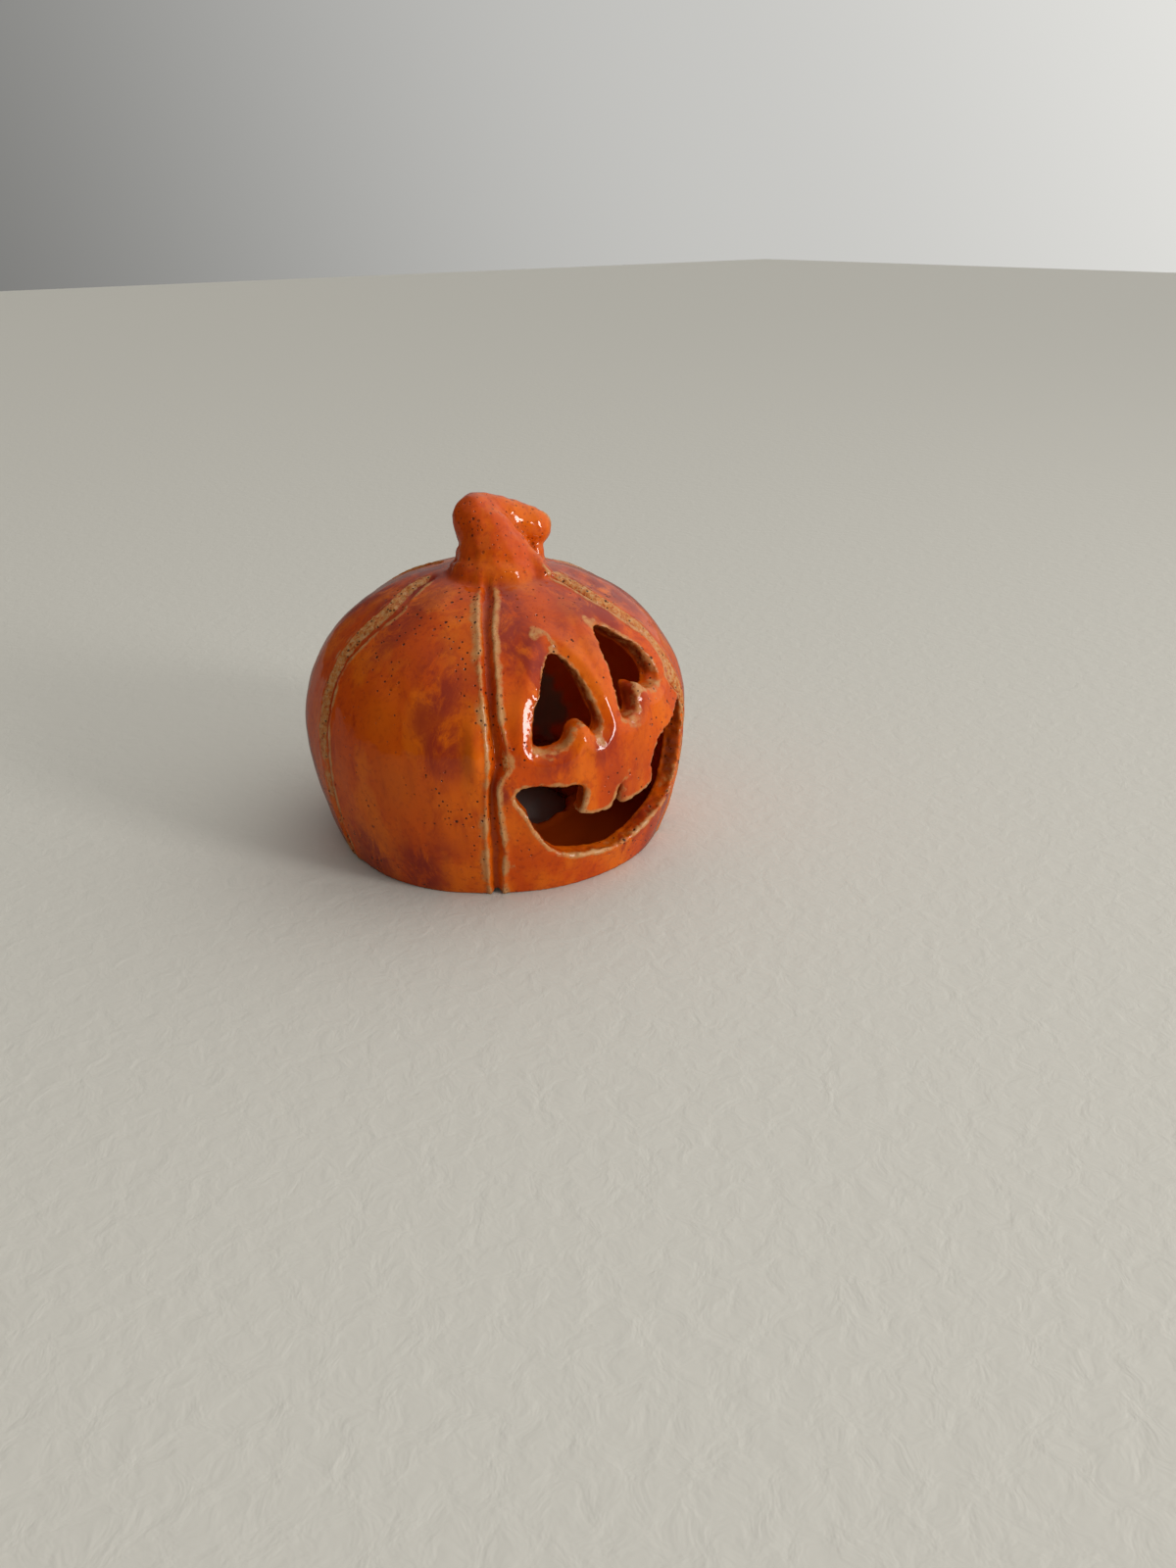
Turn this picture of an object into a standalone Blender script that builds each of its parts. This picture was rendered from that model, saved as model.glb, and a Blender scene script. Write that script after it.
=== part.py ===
"""A carved pumpkin lantern in glazed ceramic, in metres, +Z up, face towards -Y, base centre at 0.

One hollow shell: six lobes parted by scored grooves, two eyes and a toothed mouth cut through
the wall, a hand-cut hole in the floor and a folded stem that is one clay with the top.
Azimuths are degrees about the upright axis, from -Y (the nose) towards +X. Heights are in mm.
"""

import math

import bmesh
import bpy
from mathutils import Vector

MM = 0.001

# Body, in mm
BODY_RADIUS = 52.5
WIDEST_AT = 33.9
TOP_HEIGHT = 75.4
UNDER_RADIUS = 72.0
WALL = 5.1
FLOOR = 4.6
FOOT_ROUND = 1.6
LOBE_BULGE = 0.7
FLOOR_HOLE_RADIUS = 19.6
HOLE_EDGE_ROUND = 1.2
FLOOR_CORNER = 3.0
UPPER_ROWS = 16
UNDER_ROWS = 8
INNER_ROWS = 12

# Grooves: (offset from the groove's middle, height above the skin), in mm
GROOVE_SECTION = ((-3.3, 0.0), (-2.0, 0.35), (-0.8, -1.7), (0.8, -1.7), (2.0, 0.35), (3.3, 0.0))
GROOVE_START_RADIUS = 13.0
COLUMNS_BETWEEN = 6
LEAST_SPREAD_RADIUS = 9.0

# Each groove's run down the body: (height, azimuth)
GROOVE_RUNS = (
    ((75, -150), (40, -148), (0, -151)),
    ((75, -86), (64, -88.6), (56, -90.3), (46, -88), (34, -88.5), (23, -91.5), (0, -89)),
    ((75, -36), (68, -33.2), (52, -32), (44, -31.4), (34, -32.3), (20, -33.3), (0, -33)),
    ((75, 33), (69.6, 27), (63, 34), (56, 37), (49, 31.7), (45, 34.4), (38, 40), (20, 38), (0, 36)),
    ((75, 92), (50, 95), (25, 93), (0, 95)),
    ((75, 152), (45, 155), (0, 153)),
)

# Outlines cut through the wall: (azimuth, height), a corner where a point comes twice
LEFT_EYE = (
    (-10, 61.3), (-14.1, 59.7), (-17.4, 55.4), (-20.2, 51.7), (-21.9, 46), (-21.6, 42.6),
    (-18.7, 41.2), (-13.2, 42), (-10.3, 45.5), (-7.2, 46.3), (-5, 44.8), (-2.9, 42.8),
    (-1.2, 45), (-2.3, 50.4), (-4.3, 56.5), (-7.6, 60),
)
RIGHT_EYE = (
    (13.2, 63.8), (10, 61.2), (8, 55.4), (6.2, 49), (6.8, 45.1), (9.6, 44.6), (12.4, 45.3),
    (14.6, 50), (17.2, 50.8), (20.4, 48.9), (25.6, 48.7), (29, 50.6), (29.2, 54.6),
    (26.4, 58.8), (22, 61.6), (18, 63.6),
)
MOUTH = (
    (-28.2, 30.6), (-26.6, 32.9), (-20, 32.9), (-9.3, 31.6), (-8.2, 30), (-9.3, 23.6),
    (-9.3, 23.6), (-0.6, 22.5), (1, 23.6), (2.8, 28.2), (5, 29.3), (4.4, 23.2), (4.4, 23.2),
    (16, 24.3), (16, 24.3), (15.8, 30), (18.4, 34.6), (24, 37.3), (32, 39.6), (38.5, 41),
    (39.6, 38), (37.4, 30), (35.4, 20.5), (31.4, 15.6), (23, 13.2), (14.5, 11), (5, 9.4),
    (-8, 10.6), (-16, 12.8), (-20.8, 18), (-24.8, 24.8),
)
CUTTER_REACH = (24.0, 84.0)
OUTLINE_STEPS = 3

# Stem: (x, y, z, radius) along its middle, in mm
STEM_RUN = (
    (-0.9, -2.4, 71.2, 16.2),
    (-1.0, -2.6, 73.4, 13.4),
    (-0.9, -2.2, 76.0, 11.5),
    (-1.3, -1.0, 80.7, 9.2),
    (-2.2, 1.2, 84.6, 7.3),
    (-2.4, 3.2, 86.6, 6.5),
    (1.2, 3.9, 86.8, 6.0),
    (6.0, 3.0, 85.2, 5.6),
    (11.2, 1.4, 83.4, 5.4),
    (15.0, -0.4, 82.0, 5.2),
)
STEM_SIDES = 18
STEM_STEPS = 3
STEM_TIP_ROWS = 4

GLAZE_COLOUR = (0.54, 0.10, 0.012, 1.0)
GLAZE_ROUGHNESS = 0.12


def clear_scene():
    for obj in list(bpy.data.objects):
        bpy.data.objects.remove(obj, do_unlink=True)


def glaze_material():
    material = bpy.data.materials.new("orange_glaze")
    material.use_nodes = True
    shader = material.node_tree.nodes["Principled BSDF"]
    shader.inputs["Base Color"].default_value = GLAZE_COLOUR
    shader.inputs["Roughness"].default_value = GLAZE_ROUGHNESS
    shader.inputs["Metallic"].default_value = 0.0
    return material


def between(stations, at):
    """The value at a place along stations of (place, value) that fall, joined smoothly."""
    for (high, first), (low, second) in zip(stations, stations[1:]):
        if at >= low:
            share = min(1.0, max(0.0, (high - at) / (high - low)))
            return first + (second - first) * share * share * (3 - 2 * share)
    return stations[-1][1]


def body_radius(height):
    """Half an ellipse above the widest height, and the start of a taller one below it."""
    rise = TOP_HEIGHT - WIDEST_AT if height > WIDEST_AT else UNDER_RADIUS
    share = (height - WIDEST_AT) / rise
    return BODY_RADIUS * math.sqrt(max(0.0, 1 - share * share))


def outer_profile():
    """(radius, height) of the skin, from just off the pole down to the foot."""
    rows = []
    for row in range(1, UPPER_ROWS + 1):
        lift = math.cos(math.pi / 2 * row / UPPER_ROWS)
        height = WIDEST_AT + (TOP_HEIGHT - WIDEST_AT) * lift
        rows.append((body_radius(height), height))
    for row in range(1, UNDER_ROWS):
        height = FOOT_ROUND + (WIDEST_AT - FOOT_ROUND) * (1 - row / UNDER_ROWS)
        rows.append((body_radius(height), height))
    foot = body_radius(0) - FOOT_ROUND
    for turn in (0, 45, 90):
        out = FOOT_ROUND * math.cos(math.radians(turn))
        down = FOOT_ROUND * math.sin(math.radians(turn))
        rows.append((foot + out, FOOT_ROUND - down))
    return rows


def inner_profile():
    """(radius, height) from the hole in the floor, out along it and up the wall to near the pole."""
    edge = HOLE_EDGE_ROUND
    corner = body_radius(FLOOR) - WALL - FLOOR_CORNER
    rows = [(FLOOR_HOLE_RADIUS + edge, 0.0), (FLOOR_HOLE_RADIUS, edge)]
    rows += [(FLOOR_HOLE_RADIUS, FLOOR - edge), (FLOOR_HOLE_RADIUS + edge, FLOOR)]
    rows += [((FLOOR_HOLE_RADIUS + corner) / 2, FLOOR), (corner, FLOOR)]
    squeeze = (TOP_HEIGHT - WALL - WIDEST_AT) / (TOP_HEIGHT - WIDEST_AT)
    low = FLOOR + FLOOR_CORNER
    for row in range(INNER_ROWS):
        height = low + (TOP_HEIGHT - WALL - low) * math.sin(math.pi / 2 * row / INNER_ROWS)
        skin = WIDEST_AT + (height - WIDEST_AT) / squeeze if height > WIDEST_AT else height
        rows.append((body_radius(skin) * (1 - WALL / BODY_RADIUS), height))
    return rows


def columns(radius, height):
    """[(azimuth, groove height, share of the way across its lobe)] all round at one height."""
    spread = max(radius, LEAST_SPREAD_RADIUS)
    middles = [between(run, height) for run in GROOVE_RUNS]
    found = []
    for index, middle in enumerate(middles):
        following = middles[(index + 1) % len(middles)]
        if following < middle:
            following += 360
        for offset, lift in GROOVE_SECTION:
            found.append((middle + math.degrees(offset / spread), lift, 0.0))
        edge = math.degrees(GROOVE_SECTION[-1][0] / spread)
        start = middle + edge
        width = following - edge - start
        for step in range(1, COLUMNS_BETWEEN + 1):
            share = step / (COLUMNS_BETWEEN + 1)
            found.append((start + width * share, 0.0, share))
    return found


def place(azimuth, radius, height):
    turn = math.radians(azimuth)
    return Vector((radius * math.sin(turn), -radius * math.cos(turn), height)) * MM


def outer_ring(radius, height):
    """One level of the skin, with its grooves, rims and lobes. They fade in below the stem."""
    fade = min(1.0, max(0.0, (radius - GROOVE_START_RADIUS) / 3))
    ring = []
    for azimuth, lift, share in columns(radius, height):
        bulge = LOBE_BULGE * math.sin(math.pi * share)
        ring.append(place(azimuth, radius + fade * (lift + bulge), height))
    return ring


def inner_ring(radius, height):
    return [place(azimuth, radius, height) for azimuth, _, _ in columns(BODY_RADIUS, height)]


def add_loft(bm, rings, first_tip, last_tip):
    """Closed skin through rings of equal count, ended by a point at each end."""
    loops = [[bm.verts.new(point) for point in ring] for ring in rings]
    for above, below in zip(loops, loops[1:]):
        for index in range(len(above)):
            after = (index + 1) % len(above)
            bm.faces.new((above[index], below[index], below[after], above[after]))
    for tip, loop in ((first_tip, loops[0]), (last_tip, loops[-1])):
        centre = bm.verts.new(tip)
        for index in range(len(loop)):
            bm.faces.new((centre, loop[index], loop[(index + 1) % len(loop)]))
    bmesh.ops.recalc_face_normals(bm, faces=bm.faces)


def new_object(name, bm):
    mesh = bpy.data.meshes.new(name)
    bm.to_mesh(mesh)
    bm.free()
    mesh.shade_smooth()
    mesh.set_sharp_from_angle(angle=math.radians(40))
    obj = bpy.data.objects.new(name, mesh)
    bpy.context.scene.collection.objects.link(obj)
    return obj


def as_guide(obj):
    obj.hide_render = True
    obj.display_type = "WIRE"
    return obj


def make_shell():
    rings = [outer_ring(*row) for row in outer_profile()]
    rings += [inner_ring(*row) for row in inner_profile()]
    bm = bmesh.new()
    top = Vector((0, 0, TOP_HEIGHT)) * MM
    roof = Vector((0, 0, TOP_HEIGHT - WALL)) * MM
    add_loft(bm, rings, top, roof)
    return new_object("pumpkin_lantern", bm)


def rounded(outline):
    """The closed curve through an outline's points. It turns sharply at a point that comes twice."""
    points = [Vector(point) for point in outline]
    count = len(points)
    found = []
    for index in range(count):
        before, start = points[index - 1], points[index]
        end, after = points[(index + 1) % count], points[(index + 2) % count]
        if (end - start).length < 0.01:
            continue
        for step in range(OUTLINE_STEPS):
            share = step / OUTLINE_STEPS
            leaving = (end - before) * 0.5
            arriving = (after - start) * 0.5
            bend = start * (2 * share**3 - 3 * share**2 + 1) + end * (3 * share**2 - 2 * share**3)
            bend += leaving * (share**3 - 2 * share**2 + share) + arriving * (share**3 - share**2)
            found.append(bend)
    return found


def make_cutter(name, outline):
    """A wedge from inside the hollow to outside the skin, with the outline as its section."""
    bm = bmesh.new()
    curve = rounded(outline)
    near, far = [
        [bm.verts.new(place(point.x, reach, point.y)) for point in curve] for reach in CUTTER_REACH
    ]
    for index in range(len(curve)):
        after = (index + 1) % len(curve)
        bm.faces.new((near[index], near[after], far[after], far[index]))
    ends = [bm.faces.new(near), bm.faces.new(reversed(far))]
    bmesh.ops.triangulate(bm, faces=ends, ngon_method="EAR_CLIP")
    bmesh.ops.recalc_face_normals(bm, faces=bm.faces)
    return as_guide(new_object(name, bm))


def stem_stations():
    """(middle, radius) along the stem, smoothed between its named places."""
    places = [Vector(station) for station in STEM_RUN]
    found = []
    for index in range(len(places) - 1):
        before, start = places[max(index - 1, 0)], places[index]
        end, after = places[index + 1], places[min(index + 2, len(places) - 1)]
        for step in range(STEM_STEPS):
            share = step / STEM_STEPS
            leaving = (end - before) * 0.5
            arriving = (after - start) * 0.5
            bend = start * (2 * share**3 - 3 * share**2 + 1) + end * (3 * share**2 - 2 * share**3)
            bend += leaving * (share**3 - 2 * share**2 + share) + arriving * (share**3 - share**2)
            found.append((Vector(bend[:3]), bend[3]))
    found.append((Vector(places[-1][:3]), places[-1][3]))
    return found


def make_stem():
    """A fat rope of clay: it rises from a flare, folds over in a knuckle and ends in a round tip."""
    stations = stem_stations()
    middles = [middle for middle, _ in stations]
    forward = Vector((0, 0, 1))
    side = Vector((1, 0, 0))
    rings = []
    for index, (middle, radius) in enumerate(stations):
        ahead = middles[min(index + 1, len(middles) - 1)] - middles[max(index - 1, 0)]
        side = forward.rotation_difference(ahead.normalized()) @ side
        forward = ahead.normalized()
        rings.append(stem_ring(middle, radius, side, forward))
    end, tip_radius = stations[-1]
    for row in range(1, STEM_TIP_ROWS):
        angle = math.pi / 2 * row / STEM_TIP_ROWS
        middle = end + forward * tip_radius * math.sin(angle) * 0.8
        rings.append(stem_ring(middle, tip_radius * math.cos(angle), side, forward))
    bm = bmesh.new()
    add_loft(bm, rings, middles[0] * MM, (end + forward * tip_radius * 0.8) * MM)
    return as_guide(new_object("stem_clay", bm))


def stem_ring(middle, radius, side, forward):
    across = forward.cross(side)
    ring = []
    for step in range(STEM_SIDES):
        turn = 2 * math.pi * step / STEM_SIDES
        ring.append((middle + (side * math.cos(turn) + across * math.sin(turn)) * radius) * MM)
    return ring


def combine(shell, other, operation):
    modifier = shell.modifiers.new(other.name, "BOOLEAN")
    modifier.object = other
    modifier.operation = operation
    modifier.solver = "EXACT"


def make_lantern():
    shell = make_shell()
    shell.data.materials.append(glaze_material())
    combine(shell, make_stem(), "UNION")
    for name, outline in (("left_eye", LEFT_EYE), ("right_eye", RIGHT_EYE), ("mouth", MOUTH)):
        combine(shell, make_cutter(name + "_cutter", outline), "DIFFERENCE")
    return shell


clear_scene()
make_lantern()
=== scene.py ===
"""The finished look of a carved pumpkin lantern in orange glazed ceramic.

The clay is modelled in millimetre names below, about the upright axis, with the face towards -Y.
Azimuths are degrees from -Y towards +X. One piece stands for the whole lantern.
"""

import math

import bpy
import numpy as np
from mathutils import Matrix, Vector, noise


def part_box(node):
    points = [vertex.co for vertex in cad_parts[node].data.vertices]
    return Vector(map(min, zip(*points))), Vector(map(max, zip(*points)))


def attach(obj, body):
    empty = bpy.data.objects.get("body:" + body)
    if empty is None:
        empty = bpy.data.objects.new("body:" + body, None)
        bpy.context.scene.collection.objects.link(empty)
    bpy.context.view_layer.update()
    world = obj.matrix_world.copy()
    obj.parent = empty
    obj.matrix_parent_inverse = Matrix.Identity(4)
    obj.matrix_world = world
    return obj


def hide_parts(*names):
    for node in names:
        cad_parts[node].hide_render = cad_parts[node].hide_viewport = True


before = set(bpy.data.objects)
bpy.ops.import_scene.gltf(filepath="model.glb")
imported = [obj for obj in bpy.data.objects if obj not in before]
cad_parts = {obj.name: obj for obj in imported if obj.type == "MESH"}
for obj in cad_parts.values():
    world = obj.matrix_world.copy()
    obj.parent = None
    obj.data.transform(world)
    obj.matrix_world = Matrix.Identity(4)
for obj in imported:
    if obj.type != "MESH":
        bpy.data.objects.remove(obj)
MM = 0.001
NODE = "pumpkin_lantern"
low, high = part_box(NODE)
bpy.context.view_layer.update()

# Body, in mm
BODY_RADIUS = 52.5
WIDEST_AT = 33.9
TOP_HEIGHT = 75.2
UNDER_RADIUS = 72.0
WALL = 5.1
FLOOR = 4.8
FLOOR_HOLE_RADIUS = 19.4
HOLE_EDGE = 2.2

# Each groove, down the body: (height, azimuth of its left rim, azimuth of its right rim).
# deepest is where its bottom lies between the rims, from 0 at the left one to 1 at the right one.
# depth is (height, depth in mm) down the same run.
# bare is how wide, in mm, the glaze ran thin on the left rim and on the right one.
GROOVES = (
    {"deepest": 0.3, "bare": (0.9, 0.9), "depth": ((0, 1.7), (77, 1.7)), "run": (
        (77, -160, -143), (72, -156, -144), (60, -152, -144), (40, -153, -147), (20, -155, -149),
        (0, -153, -148))},
    {"deepest": 0.66, "bare": (0.5, 0.6), "depth": ((0, 1.3), (60, 1.25), (77, 1.3)), "run": (
        (77, -112, -99), (73.4, -112, -95), (71, -107, -87.5), (68, -98, -82), (62.9, -98.5, -86),
        (56.6, -99, -89.9), (50.8, -97.5, -88.9), (43.5, -95, -87.6), (35.8, -95.2, -87.1),
        (27, -95.6, -88.2), (18.4, -95, -88.1), (4.4, -93.8, -89.5), (0, -93.8, -89.5))},
    {"deepest": 0.42, "bare": (1.5, 1.0), "depth": (
        (0, 1.3), (14, 1.5), (30, 1.8), (52, 2.1), (60, 1.2), (77, 0.9)), "run": (
        (77, -43, -31), (72, -41, -29.6), (66, -37.9, -31.8), (57, -36.3, -31.2),
        (49, -35.0, -30.9), (43, -34.7, -29.7), (38.7, -34.6, -28.6), (36.2, -34.9, -31.2),
        (33.5, -35.3, -32.6), (28.6, -35.8, -32.3), (19.8, -36.2, -31.8), (13.6, -36.3, -31.2),
        (7.4, -36.4, -32), (0, -36.4, -32))},
    {"deepest": 0.32, "bare": (0.6, 0.5), "depth": ((0, 1.5), (50, 1.5), (77, 1.3)), "run": (
        (77, 25, 52), (72.6, 25.7, 48), (70.8, 26.5, 42), (68, 27.1, 38.5), (62.8, 31.9, 41),
        (57.3, 35.3, 42.6), (52.4, 35.6, 43.4), (49.1, 32.4, 43.6), (45.4, 33.6, 44),
        (42, 38.5, 45), (34, 41.8, 46), (24, 41.4, 45.6), (12, 39.4, 43.8), (0, 37.8, 42.4))},
    {"deepest": 0.35, "bare": (0.9, 0.9), "depth": ((0, 1.7), (77, 1.7)), "run": (
        (77, 86, 104), (70, 88, 101), (62, 90.5, 98.5), (48, 92, 98.5), (30, 91, 96.5),
        (14, 92, 97), (0, 92, 97))},
    {"deepest": 0.7, "bare": (0.9, 0.9), "depth": ((0, 1.6), (77, 1.6)), "run": (
        (77, 144, 162), (70, 147, 159), (60, 149.5, 157), (45, 151, 157.5), (25, 150, 155.5),
        (0, 151, 156))},
)
# The grooves start at the stem's foot. Their gritty banks lie on a shelf under the skin, and at one height
# the glaze pooled on the bank instead of running off it.
GROOVE_TOP_RADIUS = 16.5
SHELF_DEPTH = 0.55
GLOSSY_BANK = 41.5
# Low swells beside a groove: (azimuth, height, half width, half height, lift), in degrees and mm
CHEEKS = ((-30.5, 31, 3.2, 9, 0.55), (-38.0, 41.5, 2.5, 6.5, 1.75), (-38, 54, 3.0, 7, 0.25))

# Outlines cut through the wall: (azimuth, height), a corner where a point comes twice
LEFT_EYE = (
    (-10, 61.3), (-12.4, 60.9), (-14.1, 59.7), (-16, 57.8), (-17.4, 55.4), (-18.7, 52.9),
    (-20.2, 51.7), (-21.7, 47.8), (-22.2, 44), (-21.6, 42), (-18.7, 41.2), (-15.8, 41.5),
    (-13.2, 42), (-11.8, 43.5), (-10.3, 45.5), (-8.1, 46.4), (-6.2, 46.2), (-5, 44.8),
    (-3.3, 42.7), (-3.3, 42.7), (-1.1, 45.2), (-1.5, 47.6), (-2.3, 50.4), (-2.8, 53.3),
    (-4.3, 56.5), (-5.9, 58.5), (-7.8, 60.3),
)
RIGHT_EYE = (
    (12, 63.4), (10, 61.2), (8.8, 58.8), (8.3, 56.2), (7.2, 53.4), (6.6, 50.7), (5.9, 47.9),
    (6.5, 45.2), (8.4, 44.3), (10.7, 44.8), (12.4, 45.3), (13.6, 47.4), (14.6, 50.3),
    (16.2, 51.2), (18, 50.4), (19.6, 49.1), (23.1, 48.6), (25.6, 48.7), (28.2, 49.4),
    (29.4, 51.2), (29.2, 54.9), (28.1, 57.1), (26.1, 59), (23.2, 60.3), (21.4, 61.9),
    (18.6, 63.3), (15, 64.2),
)
MOUTH = (
    (-28.4, 30.6), (-27.2, 32.4), (-24.8, 33.2), (-22.2, 33.3), (-18.8, 32.7), (-15.4, 32.2),
    (-11.9, 32), (-9.2, 31.6), (-8.1, 30), (-8.2, 27.4), (-8.7, 25.4), (-9.6, 23.5),
    (-9.6, 23.5), (-4.3, 22.6), (-0.6, 22.4), (1.1, 23.8), (1.9, 26.4), (3.2, 28.9),
    (4.9, 29.6), (4.9, 29.6), (4.2, 27), (4.1, 24.8), (4.9, 22.9), (4.9, 22.9), (9.4, 23.7),
    (16.2, 24.3), (16.2, 24.3), (16.4, 26.8), (15.8, 29.8), (16.4, 31.6), (17.8, 33.8),
    (19.7, 36), (23.5, 37.3), (27.5, 38.3), (32.5, 39.8), (37.6, 41.2), (39.4, 39.8),
    (38.8, 35), (37.4, 29), (36.2, 22), (34, 17.2), (30, 14.9), (25.2, 13.7), (20, 12.6),
    (14.5, 10.9), (6.5, 9.4), (1.6, 9.3), (-3.2, 9.8), (-9, 10.6), (-13.1, 11.5),
    (-16.1, 12.8), (-18.4, 14.6), (-20, 16.7), (-21.7, 19), (-23.4, 21.8), (-24.7, 24.7),
    (-26.4, 27.2), (-27.8, 29),
)
OPENINGS = {"left_eye": LEFT_EYE, "right_eye": RIGHT_EYE, "mouth": MOUTH}

# Strokes where the glaze ran off an edge and the clay shows:
# width in mm, share of bare clay, run of (azimuth, height) down the skin
BARE_STROKES = (
    {"width": 1.25, "share": 1.0, "run": (
        (-10.4, 62.4), (-8.4, 61.2), (-6.4, 59.6), (-4.5, 57.2), (-2.9, 54), (-2.2, 51))},
    {"width": 0.75, "share": 0.9, "run": ((-2.2, 51), (-1.2, 48), (-0.6, 45), (-2.6, 42.6))},
    {"width": 0.6, "share": 0.75, "run": (
        (-10.4, 62), (-13, 61), (-15, 59.6), (-17, 57), (-19, 53), (-20.6, 51.6), (-22.2, 47.8),
        (-22.8, 44), (-22.2, 41.6))},
    {"width": 1.1, "share": 0.95, "run": (
        (-22, 41.8), (-18.8, 40.6), (-15.8, 40.9), (-13.4, 41.6), (-11.4, 43.4), (-9.8, 45.2))},
    {"width": 1.1, "share": 1.0, "run": (
        (-8.6, 62.4), (-9.3, 63.9), (-10.8, 65.5), (-13.1, 66), (-16.4, 65.2))},
    {"width": 1.5, "share": 0.8, "run": ((-3, 42.4), (-2.4, 40.8))},
    {"width": 1.4, "share": 0.8, "run": ((-19.6, 40.6), (-17.6, 39.4))},
    {"width": 1.3, "share": 0.95, "run": ((11.4, 66.2), (12.4, 65.6), (13.6, 64.8), (15.8, 64.8))},
    {"width": 0.95, "share": 0.95, "run": (
        (13, 64.2), (16, 64.4), (19, 63.6), (21.6, 62.2), (23.6, 60.6), (26.4, 59.2), (28.4, 57.2),
        (29.6, 54.8), (29.8, 51))},
    {"width": 0.55, "share": 0.8, "run": (
        (12, 63.8), (9.6, 61.4), (8.2, 58.8), (7.8, 56.2), (6.6, 53.4), (6, 50.7), (5.2, 47.9))},
    {"width": 1.0, "share": 0.95, "run": (
        (5.6, 45), (8.4, 43.8), (10.9, 44.3), (12.9, 45), (14.2, 47.4), (15.2, 49.8), (18, 49.8),
        (20, 48.4), (23.4, 48), (26, 48.1), (28.8, 49))},
    {"width": 2.0, "share": 0.75, "run": ((9, 43.2), (12, 43.6))},
    {"width": 0.8, "share": 0.9, "run": ((4.8, 29.8), (5.4, 30.9), (6.4, 31.8))},
    {"width": 0.6, "share": 0.8, "run": ((-28.9, 10.3), (-27.8, 7.1))},
    {"width": 0.55, "share": 0.75, "run": (
        (-28.8, 30.4), (-27.4, 32.8), (-24.8, 33.7), (-22.2, 33.8), (-18.8, 33.2), (-15.4, 32.7),
        (-11.9, 32.5), (-8.6, 32))},
    {"width": 0.6, "share": 0.8, "run": (
        (-8.6, 32), (-7.5, 30), (-7.6, 27.4), (-8, 25.4), (-9, 24.1), (-4.3, 23.2), (-0.4, 23))},
    {"width": 0.65, "share": 0.85, "run": (
        (-28.8, 30.4), (-27.2, 27), (-25.4, 24.4), (-24, 21.5), (-22.2, 18.7), (-20.4, 16.3),
        (-18.8, 14.2), (-16.4, 12.4), (-13.3, 11))},
    {"width": 0.8, "share": 0.85, "run": (
        (-13.3, 11), (-9, 10.2), (-3.2, 9.4), (1.6, 8.8), (6.5, 8.9), (14.5, 10.4), (20, 12.1),
        (25.2, 13.2), (30.4, 14.3), (34.6, 16.9), (36.8, 22))},
)
# Drifts of colour in the glaze: (azimuth, height, radius in mm, strength)
PLUM_DRIFTS = (
    (-26, 67, 6.5, 0.75), (-17.8, 61.8, 3.6, 0.85), (24, 66, 4, 0.8), (15, 68.5, 5, 0.6),
    (-2, 65, 4, 0.45), (-16, 38.2, 5.5, 0.55), (-1.6, 38.6, 4, 0.55), (-47.2, 42, 7, 0.75),
    (-49, 56, 8, 0.65), (-53, 49, 6, 0.5), (-58, 7, 8, 0.7), (-49, 15, 6, 0.45), (-31.4, 32.5, 3, 0.7),
    (30, 14, 6, 0.55), (-127, 68, 10, 0.7), (-78, 66, 8, 0.5), (-99, 71, 6, 0.6), (-76, 8, 9, 0.6),
    (52, 68, 9, 0.6), (70, 64, 10, 0.6), (-140, 40, 12, 0.5), (120, 50, 13, 0.55), (-172, 30, 12, 0.5),
    (75, 22, 10, 0.4), (168, 58, 12, 0.5), (-110, 26, 10, 0.45),
)
AMBER_DRIFTS = (
    (-3, 58, 5, 0.9), (2, 52, 4, 0.7), (-41, 64, 6, 0.7), (-46, 29, 8, 0.8), (-39, 42, 4, 0.8),
    (12, 39, 6, 0.6), (-26, 51, 4, 0.7), (-22, 22, 5, 0.8), (-43, 21, 7, 0.7), (-60, 33, 9, 0.7),
    (-66, 48, 7, 0.6), (-38, 29, 4, 0.7), (20, 43, 5, 0.6), (-84, 30, 7, 0.5), (100, 34, 13, 0.5),
    (-160, 56, 12, 0.5), (145, 28, 12, 0.5), (-125, 46, 11, 0.5), (64, 40, 11, 0.5),
)
# Bands where gas broke through the glaze in rows of pits: width in mm, run down the skin
PITTED_BANDS = (
    {"width": 2.2, "run": ((-42, 72), (-38.6, 66), (-38, 58), (-36.8, 50))},
    {"width": 2.6, "run": ((-37.6, 30), (-38.4, 24), (-38.6, 16), (-38.4, 8))},
    {"width": 5.0, "run": ((-46, 70), (-44, 62))},
    {"width": 4.0, "run": ((-54, 33), (-48, 31))},
)
# How much longer than wide a drift runs down the skin, squared
DRIFT_STRETCH = 1.6
# A grey, clay coloured patch on the inside of the back wall
GREY_PATCH = {"azimuth": 131, "height": 17, "wide": 10, "tall": 11}

CUT_NEAR = 22.0
CUT_FAR = 86.0
OUTLINE_STEPS = 3

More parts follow.
